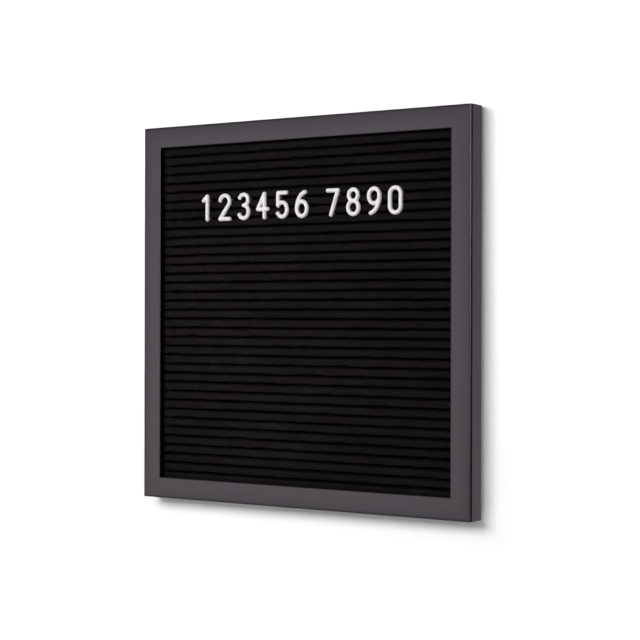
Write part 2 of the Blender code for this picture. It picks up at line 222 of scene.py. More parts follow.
def lacquerFinish(name, upright):
    s = lacquerSettings
    material, coords = startFinish(name)
    runs = (s["acrossScale"], s["acrossScale"], s["alongScale"])
    if not upright:
        runs = (s["alongScale"], s["acrossScale"], s["acrossScale"])
    streaks = grainAlong(coords, runs, 4.0)
    cloud = grainAt(coords, s["cloudScale"], 2.0)
    peel = grainAt(coords, s["peelScale"], 2.0)
    tone = spread(streaks * 0.3 + cloud * 0.5 + peel * 0.2, *noiseSpan)
    return dress(material, {
        "Base Color": blendShades(tone, s["deep"], s["pale"]),
        "Roughness": spread(cloud * 0.7 + peel * 0.3, *noiseSpan, *s["rough"]),
        "Specular IOR Level": s["shine"],
        "Specular Tint": (*s["mirrorTint"], 1),
        "Normal": bumped(streaks * 0.4 + peel * 0.6, *s["relief"]),
    })


# black for the inside of the shadow line, as painted shade, and for the lip's inner side, partly its own
# black paint and partly painted shade of the gap behind the lip
blackAndShadeSettings = {
    "deep": (0.0012, 0.0011, 0.0013),
    "pale": (0.0030, 0.0028, 0.0031),
    "span": (0.35, 0.7),
    "dustScale": 900.0,
    "rough": (0.72, 0.88),
    "shine": 0.06,
    "relief": (0.2, 0.0002),
}


def blackAndShadeFinish():
    s = blackAndShadeSettings
    material, coords = startFinish("matt_black_and_painted_shade")
    dust = grainAt(coords, s["dustScale"])
    return dress(material, {
        "Base Color": blendShades(spread(dust, *s["span"]), s["deep"], s["pale"]),
        "Roughness": spread(dust, *wideSpan, *s["rough"]),
        "Specular IOR Level": s["shine"],
        "Normal": bumped(dust, *s["relief"]),
    })


feltFinishSettings = {
    "shades": [              # from the darkest, reached where shade is painted at the grooves, to pile that stands
        (0.27, (0.0030, 0.0024, 0.0031)),
        (0.38, (0.0054, 0.0043, 0.0056)),
        (0.52, (0.0098, 0.0080, 0.0102)),
        (0.66, (0.0186, 0.0157, 0.0193)),
    ],
    "grooveShadeDrop": 0.17,        # painted shade: the felt is darker where it turns into a groove
    "grooveShadeReach": (0.06, 0.20),   # in rib pitches from the middle of a groove
    "grooveShadeVary": (0.5, 1.3),  # but not evenly so along a groove
    "grooveShadeScale": (38.0, 1.0, 170.0),
    "fibreScale": 2600.0,
    "tuftScale": 620.0,
    "cloudScale": 95.0,
    "strandScale": (300.0, 1400.0, 1400.0),
    "patchScale": (16.0, 40.0, 40.0),
    "patchShare": 1.6,
    "litPatchPlace": Vector((-0.055, 0.0, -0.02)),   # middle of a painted pool of light on the felt
    "litPatchReach": 0.19,
    "napAndLightLift": 0.085,
    "rough": (0.92, 1.0),
    "shine": 0.02,
    "relief": (0.7, 0.0005),
}


def feltFinish():
    s = feltFinishSettings
    material, coords = startFinish("black_pressed_felt")
    fibres = grainAt(coords, s["fibreScale"], 4.0, 0.7)
    tufts = grainAt(coords, s["tuftScale"], 3.0, 0.6)
    clouds = grainAt(coords, s["cloudScale"], 2.0)
    strands = grainAlong(coords, s["strandScale"], 3.0, 0.65)
    patches = grainAlong(coords, s["patchScale"], 2.0)
    # painted light: the felt is lighter around one place, as a pool of light, with random patches of nap
    # over it
    litPatchEnds = {0: coords, 1: boardMid + s["litPatchPlace"]}
    fromLitPatch = coords.node("ShaderNodeVectorMath", {"operation": "DISTANCE"}, litPatchEnds, out="Value")
    napAndPaintedLight = spread(fromLitPatch, 0.0, s["litPatchReach"], 0.5, -0.5) + (patches - 0.5) * s["patchShare"]
    pile = fibres * 0.35 + tufts * 0.3 + strands * 0.2 + clouds * 0.15 + napAndPaintedLight * s["napAndLightLift"]
    height = coords.node("ShaderNodeSeparateXYZ", {}, {0: coords}, out="Z")
    # painted shade along the flanks of each groove, where shade falls
    rows = (grooveHeights[0] - height) * (1 / groovePitch)
    shadeVary = spread(grainAlong(coords, s["grooveShadeScale"], 2.0), *noiseSpan, *s["grooveShadeVary"])
    grooveShade = spread(rows.sums("PINGPONG", rows, 0.5), *s["grooveShadeReach"], s["grooveShadeDrop"], 0.0) * shadeVary
    return dress(material, {
        "Base Color": pile.node("ShaderNodeValToRGB", {"stops": s["shades"]}, {"Fac": pile - grooveShade}),
        "Roughness": spread(pile, *noiseSpan, *s["rough"]),
        "Specular IOR Level": s["shine"],
        "Normal": bumped(fibres * 0.5 + tufts * 0.5, *s["relief"]),
    })


plasticSettings = {
    "deep": (0.715, 0.690, 0.685),
    "pale": (0.780, 0.760, 0.755),
    "flowScale": 240.0,
    "skinScale": 2200.0,
    "rough": (0.30, 0.44),
    "relief": (0.10, 0.0003),
}


def plasticFinish():
    s = plasticSettings
    material, coords = startFinish("moulded_white_plastic")
    flow = grainAt(coords, s["flowScale"])
    skin = grainAt(coords, s["skinScale"], 2.0)
    return dress(material, {
        "Base Color": blendShades(spread(flow, *noiseSpan), s["deep"], s["pale"]),
        "Roughness": spread(flow * 0.5 + skin * 0.5, *noiseSpan, *s["rough"]),
        "Normal": bumped(flow * 0.6 + skin * 0.4, *s["relief"]),
    })


lintFinishSettings = {
    "shade": (0.06, 0.056, 0.06),
    "bright": (0.16, 0.15, 0.16),
    "span": (0.4, 0.6),
    "mixScale": 160.0,
    "roughness": 0.9,
    "shine": 0.2,
}


def lintFinish():
    s = lintFinishSettings
    material, coords = startFinish("grey_lint")
    mixed = grainAt(coords, s["mixScale"], 2.0)
    return dress(material, {
        "Base Color": blendShades(spread(mixed, *s["span"]), s["shade"], s["bright"]),
        "Roughness": s["roughness"],
        "Specular IOR Level": s["shine"],
    })


slatSettings = {
    "early": (0.56, 0.41, 0.25),
    "late": (0.40, 0.27, 0.15),
    "ringScale": (12.0, 700.0, 700.0),
    "poreScale": (180.0, 3000.0, 3000.0),
    "rough": (0.7, 0.9),
    "relief": (0.3, 0.0002),
}


def slatFinish():
    s = slatSettings
    material, coords = startFinish("sawn_slat_wood")
    rings = grainAlong(coords, s["ringScale"], 4.0)
    pores = grainAlong(coords, s["poreScale"], 2.0)
    return dress(material, {
        "Base Color": blendShades(spread(rings, *noiseSpan), s["early"], s["late"]),
        "Roughness": spread(pores, *wideSpan, *s["rough"]),
        "Normal": bumped(rings * 0.5 + pores * 0.5, *s["relief"]),
    })


hardboardSettings = {
    "shades": [(0.36, (0.105, 0.056, 0.027)), (0.5, (0.185, 0.106, 0.055)), (0.66, (0.30, 0.19, 0.105))],
    "fibreScale": 1300.0,
    "flakeScale": (420.0, 420.0, 900.0),
    "cloudScale": 26.0,
    "meshPitch": 0.0011,     # the press screen leaves a fine mesh on the rough side
    "waveFactor": 20.0,      # the wave texture multiplies its scale by this
    "rough": (0.68, 0.86),
    "relief": (0.35, 0.0003),
}


def hardboardFinish():
    s = hardboardSettings
    material, coords = startFinish("pressed_hardboard")
    fibres = grainAt(coords, s["fibreScale"], 4.0, 0.7)
    flakes = grainAlong(coords, s["flakeScale"], 3.0, 0.6)
    clouds = grainAt(coords, s["cloudScale"], 2.0)
    pulp = fibres * 0.45 + flakes * 0.45 + clouds * 0.1
    kind = {"bands_direction": "DIAGONAL", "wave_profile": "SIN"}
    scale = 2 * pi / (s["meshPitch"] * s["waveFactor"])
    warp, weft = [
        coords.node("ShaderNodeTexWave", kind, {"Vector": stretched(coords, slant), "Scale": scale})
        for slant in ((1, 0, 1), (1, 0, -1))]
    return dress(material, {
        "Base Color": pulp.node("ShaderNodeValToRGB", {"stops": s["shades"]}, {"Fac": pulp}),
        "Roughness": spread(pulp, *wideSpan, *s["rough"]),
        "Normal": bumped(warp * 0.3 + weft * 0.3 + pulp * 0.6, *s["relief"]),
    })


zincSettings = {
    "dull": (0.46, 0.485, 0.47),
    "bright": (0.68, 0.715, 0.69),
    "span": (0.2, 0.6),
    "spangleScale": 420.0,
    "scratchScale": (90.0, 2600.0, 2600.0),
    "smudgeScale": 210.0,
    "rough": (0.26, 0.46),
    "relief": (0.12, 0.0002),
}


def zincFinish():
    s = zincSettings
    material, coords = startFinish("zinc_plated_steel")
    cells = {"Vector": coords, "Scale": s["spangleScale"]}
    spangle = coords.node("ShaderNodeTexVoronoi", {"feature": "F1"}, cells)
    scratches = grainAlong(coords, s["scratchScale"])
    smudge = grainAt(coords, s["smudgeScale"], 2.0)
    tone = spread(spangle * 0.5 + smudge * 0.5, *s["span"])
    return dress(material, {
        "Base Color": blendShades(tone, s["dull"], s["bright"]),
        "Metallic": 1.0,
        "Roughness": spread(scratches * 0.6 + smudge * 0.4, *noiseSpan, *s["rough"]),
        "Normal": bumped(scratches, *s["relief"]),
    })


finishes = {
    "lacquerUpright": lacquerFinish("satin_lacquer_upright", True),
    "lacquerLevel": lacquerFinish("satin_lacquer_level", False),
    "blackAndShade": blackAndShadeFinish(),
    "felt": feltFinish(),
    "plastic": plasticFinish(),
    "lint": lintFinish(),
    "slat": slatFinish(),
    "hardboard": hardboardFinish(),
    "zinc": zincFinish(),
}
print("finishes mixed:", len(finishes))


# shared modelling
closeBy = 1e-6               # points no further apart than this are taken as one
slack = 1e-5                 # play where a face is told by its place


def newVerts(made):
    return [item for item in made["geom"] if isinstance(item, bmesh.types.BMVert)]


def addPiece(name, shape, body, paints):
    mesh = bpy.data.meshes.new(name)
    shape.to_mesh(mesh)
    shape.free()
    for paint in paints:
        mesh.materials.append(finishes[paint])
    piece = bpy.data.objects.new(name, mesh)
    scene.collection.objects.link(piece)
    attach(piece, body)
    return piece


def smoothly(piece, angle):
    piece.data.shade_smooth()
    piece.data.set_sharp_from_angle(angle=radians(angle))


def takeMesh(item):
    view = bpy.context.evaluated_depsgraph_get()
    return bpy.data.meshes.new_from_object(item.evaluated_get(view))


# frame rails: one moulding section, cut to its mitres
railSettings = {
    "crown": 0.00019,        # the front is a touch fuller in its middle
    "crownSteps": 8,
    "easeReach": 0.0015,     # it falls away to its outer edge
    "easeDrop": 0.0004,
    "lipReach": 0.0008,      # and a little to its inner lip
    "lipDrop": 0.0003,
    "easeSteps": 8,
    "lipDepth": 0.0046,
    "rebate": 0.005,
    "lineStart": 0.00068,    # shadow line on the outer side, from the front face
    "lineWidth": 0.0014,
    "lineDepth": 0.001,
    "lineShadeStart": 0.00011,    # the painted shade starts this far into the line
    "lineRearRound": 0.0003,
    "rearRound": 0.0005,
    "roundSteps": 4,
    "arris": 0.00008,        # the other edges are barely broken
    "arrisSteps": 2,
    "mitreGap": 0.000012,
    "shortest": 0.01,        # edges along the moulding are longer than this
    "flatWeight": 100,
    "sharpAngle": 32,
}


def railEdges(shape, inward, back):
    found = []
    for edge in shape.edges:
        ends = [vert.co for vert in edge.verts]
        there = all(abs(end.z - inward) < closeBy and abs(end.y - back) < closeBy for end in ends)
        if there and abs(ends[0].x - ends[1].x) > railSettings["shortest"]:
            found.append(edge)
    return found


def faceDepth(inward):
    s = railSettings
    outer = max(0.0, 1 - inward / s["easeReach"])
    lip = max(0.0, 1 - (railFace - inward) / s["lipReach"])
    eases = s["easeDrop"] * (1 - sqrt(1 - outer ** 2)) + s["lipDrop"] * (1 - sqrt(1 - lip ** 2))
    return s["crown"] * (2 * inward / railFace - 1) ** 2 + eases


def railOutline():
    s = railSettings
    land = railFace - s["rebate"]
    lineEnd = s["lineStart"] + s["lineWidth"]
    turns = [pi / 2 * (1 - step / s["easeSteps"]) for step in range(s["easeSteps"])]
    flat = railFace - s["easeReach"] - s["lipReach"]
    inwards = [s["easeReach"] * (1 - sin(turn)) for turn in turns]
    inwards += [s["easeReach"] + flat * step / s["crownSteps"] for step in range(s["crownSteps"] + 1)]
    inwards += [railFace - s["lipReach"] * (1 - sin(turn)) for turn in reversed(turns)]
    return [(inward, faceDepth(inward)) for inward in inwards] + [
        (railFace, s["lipDepth"]), (land, s["lipDepth"]), (land, boardDepth), (0, boardDepth),
        (0, lineEnd), (s["lineDepth"], lineEnd), (s["lineDepth"], s["lineStart"]), (0, s["lineStart"])]


def railShape(length):
    s = railSettings
    land = railFace - s["rebate"]
    lineEnd = s["lineStart"] + s["lineWidth"]
    shape = bmesh.new()
    corners = [shape.verts.new((-length / 2, back, inward)) for inward, back in railOutline()]
    face = shape.faces.new(corners)
    far = newVerts(bmesh.ops.extrude_face_region(shape, geom=[face]))
    bmesh.ops.translate(shape, vec=(length, 0, 0), verts=far)
    bmesh.ops.recalc_face_normals(shape, faces=shape.faces)
    rounds = [                                            # place of the edge, size and steps
        (0, boardDepth, s["rearRound"], s["roundSteps"]),
        (land, boardDepth, s["arris"], s["arrisSteps"]),
        (railFace, s["lipDepth"], s["arris"], s["arrisSteps"]),
        (0, s["lineStart"], s["arris"], s["arrisSteps"]),
        (0, lineEnd, s["lineRearRound"], s["roundSteps"])]
    for inward, back, size, steps in rounds:
        bmesh.ops.bevel(
            shape, geom=railEdges(shape, inward, back), offset=size, segments=steps, profile=0.5,
            affect="EDGES", material=-1, clamp_overlap=True)
    for side in (-1, 1):
        everything = shape.verts[:] + shape.edges[:] + shape.faces[:]
        bmesh.ops.bisect_plane(
            shape, geom=everything, plane_co=(side * (length / 2 - s["mitreGap"]), 0, 0),
            plane_no=(side, 0, 1), clear_outer=True)
        rim = [edge for edge in shape.edges if len(edge.link_faces) == 1]
        bmesh.ops.holes_fill(shape, edges=rim, sides=0)
    bmesh.ops.recalc_face_normals(shape, faces=shape.faces)
    for face in shape.faces:                              # the line is black as painted shade, the lip's inner side black partly as paint and partly as painted shade
        middle = face.calc_center_median()
        alongRail = abs(face.normal.x) < 0.5
        inLine = s["lineStart"] - slack < middle.y < lineEnd + slack
        inLine = inLine and s["lineShadeStart"] < middle.z < s["lineDepth"] + slack
        onLip = middle.z > railFace - slack and middle.y > s["crown"] + s["lipDrop"]
        face.material_index = 1 if alongRail and (inLine or onLip) else 0
    return shape


def makeRails():
    width = boardHigh.x - boardLow.x
    height = boardHigh.z - boardLow.z
    sides = {
        "bottom": (width, (0, boardLow.y, boardLow.z), 0, "lacquerLevel"),
        "right": (height, (boardHigh.x, boardLow.y, boardMid.z), -pi / 2, "lacquerUpright"),
        "top": (width, (0, boardLow.y, boardHigh.z), pi, "lacquerLevel"),
        "left": (height, (boardLow.x, boardLow.y, boardMid.z), pi / 2, "lacquerUpright"),
    }
    for side, (length, place, turn, paint) in sides.items():
        shape = railShape(length)
        bmesh.ops.transform(
            shape, matrix=Matrix.Translation(place) @ Matrix.Rotation(turn, 4, "Y"), verts=shape.verts)
        rail = addPiece(side + "_moulding", shape, "board", [paint, "blackAndShade"])
        smoothly(rail, railSettings["sharpAngle"])
        flats = rail.modifiers.new("flat_sides", "WEIGHTED_NORMAL")
        flats.weight = railSettings["flatWeight"]
        flats.keep_sharp = True
        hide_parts(railNodes[side])


makeRails()
print("mouldings cut and mitred")


# felt: one sheet folded over the slats, wavering a little at each groove
feltSettings = {
    "slit": 0.0015,
    "thickness": 0.0008,
    "shoulder": 0.0016,      # outer radius where the felt turns into the slit
    "arcSteps": 5,
    "faceSteps": 2,
    "endFaceSteps": 9,
    "wallSteps": 1,
    "columns": 172,
    "shortest": 0.1,         # edges across the whole sheet are longer than this
    "holdStart": 0.0014,     # the waver eases off from here, measured from a groove's middle
    "holdEase": 0.0013,
    "waver": 0.0003,
    "waverNoise": (62, 3.71, 0.5),   # scale along, scale from groove to groove, and layer
    "openVary": 0.6,         # a slit opens and closes along its length
    "openNoise": (105, 5.13, 9.5),
    "pinchReach": 0.009,     # and closes towards its ends
    "pinchEase": 0.003,
    "leftPinch": 0.85,
    "leftShare": (0.2, 1.0),
    "rightPinch": 0.7,
    "rightShare": (0.0, 0.6),
    "swell": 0.00007,
    "swellNoise": (34, 150, 3.5),
    "crown": 0.00012,
    "lipDrop": 0.0007,       # the end ribs fall away beside the mouldings
    "lipDropReach": 0.0019,
    "tabHold": 0.0010,       # half the length of groove that hugs a tab
    "tabEase": 0.0045,
    "tabOpening": 0.45,
    "tipReach": 0.0001,      # the end of a tab, from its rearmost point
    "seed": 5,
}
feltLow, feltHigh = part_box("felt_sheet")
fieldTop = boardHigh.z - railFace
fieldBottom = boardLow.z + railFace
fieldLeft = boardLow.x + railFace
fieldRight = boardHigh.x - railFace


def between(start, end, steps):
    return [(start[0] + (end[0] - start[0]) * step / steps, start[1] + (end[1] - start[1]) * step / steps)
            for step in range(steps)]


def turned(centre, size, start, end, steps):
    turns = [start + (end - start) * step / steps for step in range(steps + 1)]
    return [(centre[0] + size * cos(turn), centre[1] + size * sin(turn)) for turn in turns]


def feltLine():
    s = feltSettings
    floor = feltHigh.y - s["thickness"]
    line = []
    for rib in range(grooveCount + 1):
        ending = rib == grooveCount
        top = feltHigh.z if rib == 0 else grooveHeights[rib - 1] - s["slit"] / 2
        bottom = feltLow.z if ending else grooveHeights[rib] + s["slit"] / 2
        first = feltHigh.y if rib == 0 else floor
        last = feltHigh.y if ending else floor
        bend = feltLow.y + s["shoulder"]
        over = turned((bend, top - s["shoulder"]), s["shoulder"], pi / 2, pi, s["arcSteps"])
        under = turned((bend, bottom + s["shoulder"]), s["shoulder"], pi, 1.5 * pi, s["arcSteps"])
        line += between((first, top), over[0], s["wallSteps"]) + over[:-1]
        faceSteps = s["endFaceSteps"] if rib == 0 or ending else s["faceSteps"]
        line += between(over[-1], under[0], faceSteps) + under[:-1]
        line += between(under[-1], (last, bottom), s["wallSteps"]) + [(last, bottom)]
    return line


def eased(share):
    share = min(1.0, max(0.0, share))
    return share * share * (3 - 2 * share)


def tabPlaces(node):
    # the tabs' ends are the CAD node's rearmost points
    rear = max(vert.co.y for vert in node.data.vertices)
    tips = [vert.co for vert in node.data.vertices if vert.co.y > rear - feltSettings["tipReach"]]
    middle = (min(tip.z for tip in tips) + max(tip.z for tip in tips)) / 2
    places = []
    for group in ([tip for tip in tips if tip.z > middle], [tip for tip in tips if tip.z < middle]):
        places.append(sum(group, Vector()) / len(group))
    return places


def tabsByGroove():
    found = {}
    for name, node in nodes.items():
        if name.startswith("numeral_"):
            for tip in tabPlaces(node):
                groove = round((grooveHeights[0] - tip.z) / groovePitch)
                found.setdefault(groove, []).append(tip.x)
    return found


def rippleAt(across, up, scales):
    return noise.noise(Vector((across * scales[0], up * scales[1], scales[2])))


def settleFelt(shape):
    s = feltSettings
    tabs = tabsByGroove()
    chance = random.Random(s["seed"])
    shares = []
    for groove in range(grooveCount):
        shares.append((chance.uniform(*s["leftShare"]), chance.uniform(*s["rightShare"])))
    depth = feltHigh.y - s["thickness"] - feltLow.y
    halfSlit = s["slit"] / 2
    for vert in shape.verts:
        point = vert.co
        groove = min(grooveCount - 1, max(0, round((grooveHeights[0] - point.z) / groovePitch)))
        offset = point.z - grooveHeights[groove]
        side = 1 if offset > 0 else -1
        hold = 1 - eased((abs(offset) - s["holdStart"]) / s["holdEase"])
        sway = rippleAt(point.x, groove, s["waverNoise"])
        opening = 1 + s["openVary"] * rippleAt(point.x, groove, s["openNoise"])
        leftReach, rightReach = (share * s["pinchReach"] for share in shares[groove])
        opening *= 1 - s["leftPinch"] * eased((fieldLeft + leftReach - point.x) / s["pinchEase"])
        opening *= 1 - s["rightPinch"] * eased((point.x - fieldRight + rightReach) / s["pinchEase"])
        beside = min((abs(point.x - x) for x in tabs.get(groove, [])), default=1.0)
        hug = 1 - eased((beside - s["tabHold"]) / (s["tabEase"] - s["tabHold"]))
        opening += (s["tabOpening"] - opening) * hug
        front = min(1.0, max(0.0, 1 - (point.y - feltLow.y) / depth))
        bulge = rippleAt(point.x, point.z, s["swellNoise"])
        middle = eased((abs(offset) - halfSlit) / (groovePitch / 2 - halfSlit))
        vert.co.z += hold * (s["waver"] * sway + side * (opening - 1) * halfSlit)
        vert.co.y -= front * (s["swell"] * bulge + s["crown"] * (middle - 1))
        inside = min(fieldTop - point.z, point.z - fieldBottom)
        vert.co.y += front * s["lipDrop"] * (1 - eased(inside / s["lipDropReach"]))


def makeFelt():
    s = feltSettings
    shape = bmesh.new()
    line = feltLine()
    verts = [shape.verts.new((feltLow.x, back, height)) for back, height in line]
    edges = [shape.edges.new(pair) for pair in zip(verts, verts[1:])]
    far = newVerts(bmesh.ops.extrude_edge_only(shape, edges=edges))
    bmesh.ops.translate(shape, vec=(feltHigh.x - feltLow.x, 0, 0), verts=far)
    along = [edge for edge in shape.edges if edge.calc_length() > s["shortest"]]
    bmesh.ops.subdivide_edges(shape, edges=along, cuts=s["columns"], use_grid_fill=True)
    settleFelt(shape)
    bmesh.ops.recalc_face_normals(shape, faces=shape.faces)
    front = max(shape.faces, key=lambda face: abs(face.normal.y))
    if front.normal.y > 0:
        bmesh.ops.reverse_faces(shape, faces=shape.faces)
    felt = addPiece("felt_cover", shape, "board", ["felt"])
    felt.data.shade_smooth()
    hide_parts("felt_sheet")
    length = sum(hypot(b[0] - a[0], b[1] - a[1]) for a, b in zip(line, line[1:]))
    return felt, length


lintSettings = {
    "count": 160,
    "thick": 0.00003,        # half a thread's width
    "margin": 0.003,         # kept clear beside the mouldings
    "offMiddle": 0.0016,     # up and down from the middle of a rib
    "points": (3, 6),
    "lift": 0.00003,
    "arch": 0.00008,
    "stepAcross": 0.00024,
    "stepUp": 0.00016,
    "curl": 0.9,
    "seed": 11,
}


def makeLint():
    s = lintSettings
    chance = random.Random(s["seed"])
    curve = bpy.data.curves.new("lint", "CURVE")
    curve.dimensions = "3D"
    curve.bevel_depth = s["thick"]
    curve.bevel_resolution = 0
    curve.use_fill_caps = True
    for thread in range(s["count"]):
        rib = chance.randrange(1, grooveCount)
        x = chance.uniform(fieldLeft + s["margin"], fieldRight - s["margin"])
        z = grooveHeights[rib] + groovePitch / 2 + chance.uniform(-s["offMiddle"], s["offMiddle"])
        heading = chance.uniform(0, 2 * pi)
        spline = curve.splines.new("POLY")
        count = chance.randrange(*s["points"])
        spline.points.add(count - 1)
        for step, point in enumerate(spline.points):
            lift = s["lift"] + s["arch"] * sin(pi * step / (count - 1))
            point.co = (x, feltLow.y - lift, z, 1)
            x += s["stepAcross"] * cos(heading)
            z += s["stepUp"] * sin(heading)
            heading += chance.uniform(-s["curl"], s["curl"])
    threads = bpy.data.objects.new("lint", curve)
    scene.collection.objects.link(threads)
    mesh = takeMesh(threads)
    bpy.data.objects.remove(threads)
    shape = bmesh.new()
    shape.from_mesh(mesh)
    bmesh.ops.remove_doubles(shape, verts=shape.verts, dist=closeBy)
    bmesh.ops.recalc_face_normals(shape, faces=shape.faces)
    lint = addPiece("felt_lint", shape, "board", ["lint"])
    lint.data.shade_smooth()
    return lint


feltPiece, feltLength = makeFelt()
lintPiece = makeLint()


# numerals: half-round strokes melted together, with two tabs on the back
numeralSettings = {
    "width": 0.0106,
    "height": 0.0184,
    "stroke": 0.0028,
    "depth": 0.002,
    "edge": 0.0004,
    "arcStep": radians(7.5),
    "sectionSteps": 14,
    "domeTurns": [radians(turn) for turn in (84, 74, 62, 48, 33, 17)],
    "tabWidth": 0.0014,
    "tabThick": 0.0009,
    "tabRoot": 0.0008,
    "gateSize": 0.0007,      # stub left where the character was broken off its sprue
    "gateSink": 0.00014,
    "voxel": 0.00013,
    "smoothing": 5,          # passes
    "smoothBy": 0.5,
}


def curved(centre, radii, start, end):
    steps = max(2, round(abs(end - start) / numeralSettings["arcStep"]))
    turns = [start + (end - start) * step / steps for step in range(steps + 1)]
    return [(centre[0] + radii[0] * cos(turn), centre[1] + radii[1] * sin(turn)) for turn in turns]


def leavingTurn(centre, radius, outside):
    across = outside[0] - centre[0]
    up = outside[1] - centre[1]
    return atan2(up, across) + acos(radius / hypot(across, up))


def strokeLines(digit):
    # centre lines, drawn as shares of half their width, a, and half their height, t
    s = numeralSettings
    a = (s["width"] - s["stroke"]) / 2
    t = (s["height"] - s["stroke"]) / 2
    if digit == "0":
        return [(curved((0, t - a), (a, a), 0, pi) + curved((0, a - t), (a, a), pi, 2 * pi), True)]
    if digit == "1":
        return [([(0.2 * a, t), (0.2 * a, -t)], False), ([(0.2 * a, t), (-0.6 * a, t - 0.75 * a)], False)]
    if digit == "2":
        bowl = curved((0, t - a), (a, a), radians(170), leavingTurn((0, t - a), a, (-a, -t)))
        return [(bowl + [(-a, -t)], False), ([(-a, -t), (a, -t)], False)]
    if digit == "3":
        upper = 0.46 * t
        lower = 0.54 * t
        return [
            (curved((0, t - upper), (0.9 * a, upper), radians(155), -pi / 2), False),
            (curved((0, lower - t), (a, lower), pi / 2, radians(-155)), False)]
    if digit == "4":
        return [
            ([(0.35 * a, t), (0.35 * a, -t)], False), ([(0.35 * a, t), (-a, -0.3 * t)], False),
            ([(-a, -0.3 * t), (a, -0.3 * t)], False)]
    if digit == "5":
        bowl = curved((0, -0.4 * t), (a, 0.6 * t), radians(145), radians(-150))
        return [(bowl, False), ([bowl[0], (-0.8 * a, t)], False), ([(-0.8 * a, t), (0.85 * a, t)], False)]
    if digit == "6":
        neck = curved((a, -0.4 * t), (2 * a, 1.4 * t), pi, radians(100))
        return [(curved((0, -0.4 * t), (a, 0.6 * t), 0, 2 * pi), True), (neck, False)]
    if digit == "7":
        return [([(-a, t), (a, t)], False), ([(a, t), (-0.35 * a, -t)], False)]
    if digit == "8":
        return [
            (curved((0, -0.46 * t), (a, 0.54 * t), 0, 2 * pi), True),
            (curved((0, 0.54 * t), (0.86 * a, 0.46 * t), 0, 2 * pi), True)]
    return [([(-x, -z) for x, z in points], closed) for points, closed in strokeLines("6")]


def sectionObject():
    s = numeralSettings
    half = s["stroke"] / 2
    turns = [pi * step / s["sectionSteps"] for step in range(s["sectionSteps"] + 1)]
    top = [(half * cos(turn), s["edge"] + (s["depth"] - s["edge"]) * sin(turn)) for turn in turns]
    curve = bpy.data.curves.new("stroke_section", "CURVE")
    curve.dimensions = "2D"
    spline = curve.splines.new("POLY")
    corners = [(half, 0)] + top + [(-half, 0)]
    spline.points.add(len(corners) - 1)
    for point, (x, y) in zip(spline.points, corners):
        point.co = (x, y, 0, 1)
    spline.use_cyclic_u = True
    section = bpy.data.objects.new("stroke_section", curve)
    scene.collection.objects.link(section)
    return section


def strokeMesh(points, closed, section):
    s = numeralSettings
    route = [(x, z, 1) for x, z in points]
    if closed and (Vector(points[0]) - Vector(points[-1])).length < s["edge"] / 2:
        route.pop()
    if not closed:                                        # round both ends
        half = s["stroke"] / 2
        first, second = Vector(points[0]), Vector(points[1])
        last, before = Vector(points[-1]), Vector(points[-2])
        outFirst = (first - second).normalized() * half
        outLast = (last - before).normalized() * half
        start = [(*(first + outFirst * sin(turn)), cos(turn)) for turn in s["domeTurns"]]
        end = [(*(last + outLast * sin(turn)), cos(turn)) for turn in reversed(s["domeTurns"])]
        route = start + route + end
    curve = bpy.data.curves.new("stroke", "CURVE")
    curve.dimensions = "3D"
    curve.twist_mode = "Z_UP"
    curve.bevel_mode = "OBJECT"
    curve.bevel_object = section
    curve.use_fill_caps = True
    spline = curve.splines.new("POLY")
    spline.use_cyclic_u = closed
    spline.points.add(len(route) - 1)
    for point, (x, z, size) in zip(spline.points, route):
        point.co = (x, z, 0, 1)
        point.radius = size
    guide = bpy.data.objects.new("stroke", curve)
    scene.collection.objects.link(guide)
    mesh = takeMesh(guide)
    bpy.data.objects.remove(guide)
    return mesh


def meltedMesh(shape, name):
    s = numeralSettings
    mesh = bpy.data.meshes.new(name)
    shape.to_mesh(mesh)
    shape.free()
    rough = bpy.data.objects.new(name, mesh)
    scene.collection.objects.link(rough)
    melt = rough.modifiers.new("melt", "REMESH")
    melt.mode = "VOXEL"
    melt.voxel_size = s["voxel"]
    melted = takeMesh(rough)
    bpy.data.objects.remove(rough)
    return melted


def makeNumeral(digit, section):
    s = numeralSettings
    nodeName = "numeral_" + digit
    low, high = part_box(nodeName)
    lines = strokeLines(digit)
    shape = bmesh.new()
    for points, closed in lines:
        shape.from_mesh(strokeMesh(points, closed, section))
    bmesh.ops.remove_doubles(shape, verts=shape.verts, dist=closeBy)
    bmesh.ops.rotate(shape, matrix=Matrix.Rotation(pi / 2, 3, "X"), verts=shape.verts)
    across = [vert.co.x for vert in shape.verts]
    upright = [vert.co.z for vert in shape.verts]
    centre = Vector(((min(across) + max(across)) / 2, 0, (min(upright) + max(upright)) / 2))
    back = low.y + s["depth"]
    place = Vector(((low.x + high.x) / 2, back, (low.z + high.z) / 2)) - centre
    bmesh.ops.translate(shape, vec=place, verts=shape.verts)
    for tip in tabPlaces(nodes[nodeName]):
        reach = Vector((s["tabWidth"], tip.y - back + s["tabRoot"], s["tabThick"]))
        tab = bmesh.ops.create_cube(shape, size=1.0)["verts"]
        bmesh.ops.scale(shape, vec=reach, verts=tab)
        bmesh.ops.translate(shape, vec=(tip.x, (tip.y + back - s["tabRoot"]) / 2, tip.z), verts=tab)
    foot = min(shape.verts, key=lambda vert: vert.co.z).co
    gate = bmesh.ops.create_icosphere(shape, subdivisions=2, radius=s["gateSize"] / 2)["verts"]
    bmesh.ops.translate(shape, vec=(foot.x, back - s["edge"], foot.z + s["gateSink"]), verts=gate)
    melted = meltedMesh(shape, nodeName)
    shape = bmesh.new()
    shape.from_mesh(melted)
    for step in range(s["smoothing"]):
        bmesh.ops.smooth_vert(
            shape, verts=shape.verts, factor=s["smoothBy"],
            use_axis_x=True, use_axis_y=True, use_axis_z=True)
    bmesh.ops.recalc_face_normals(shape, faces=shape.faces)
    piece = addPiece(nodeName + "_moulding", shape, nodeName, ["plastic"])
    piece.data.shade_smooth()
    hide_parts(nodeName)
    return len(piece.data.polygons)


